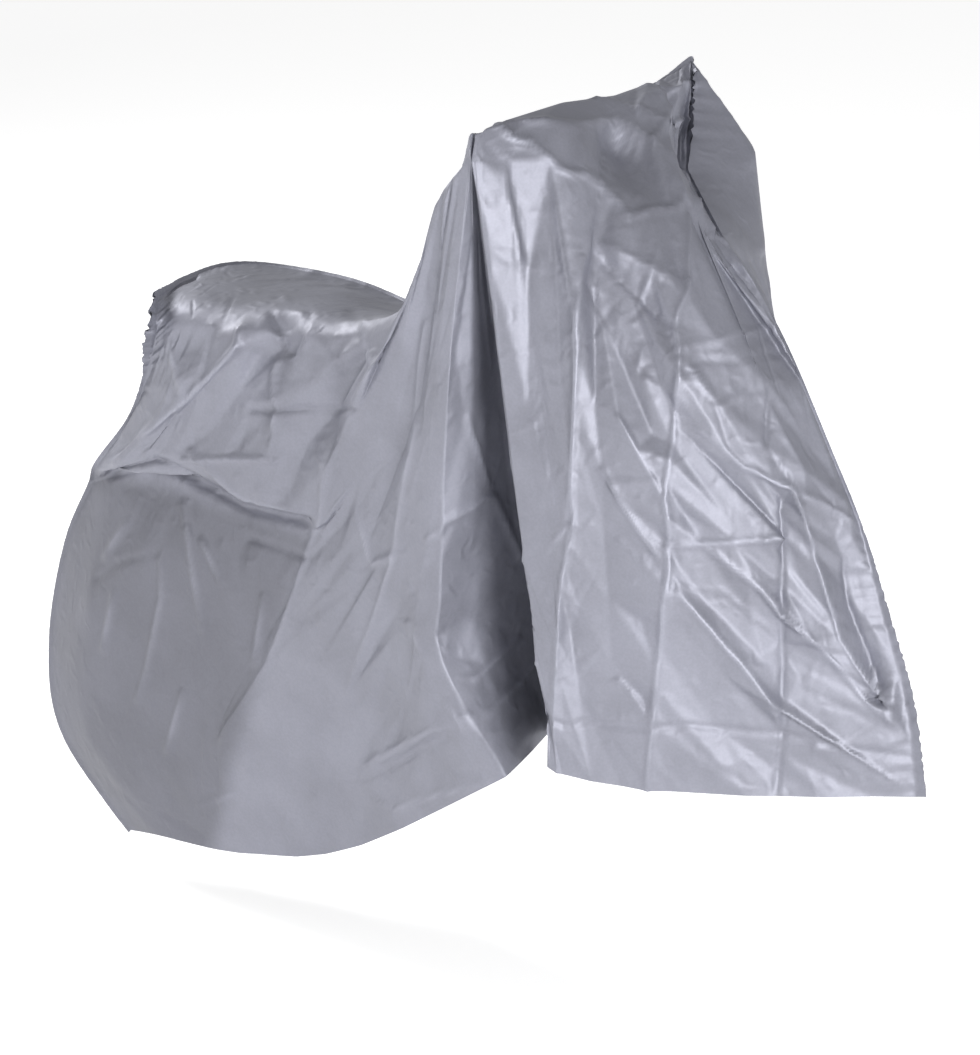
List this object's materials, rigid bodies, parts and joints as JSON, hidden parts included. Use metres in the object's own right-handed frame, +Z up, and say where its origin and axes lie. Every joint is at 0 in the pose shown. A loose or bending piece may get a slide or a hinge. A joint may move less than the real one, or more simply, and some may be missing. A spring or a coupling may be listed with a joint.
{
  "type": "bicycle cover",
  "caption": "Hollow cover of thin coated sheet, sewn from a near and a far panel along the rear, top and front, open at the bottom, hanging in folds.",
  "frame": {"origin": "centre of the bounding box's bottom face", "axes": "+Z up, +X towards the cover's front, +Y towards the far panel"},
  "size_m": [1.5578, 0.556, 1.2468],
  "materials": {
    "silver_coated_sheet": "semi-gloss silver coating on thin creased sheet"
  },
  "bodies": {
    "root": {"panel_near": "silver_coated_sheet", "panel_far": "silver_coated_sheet"}
  },
  "joints": []
}
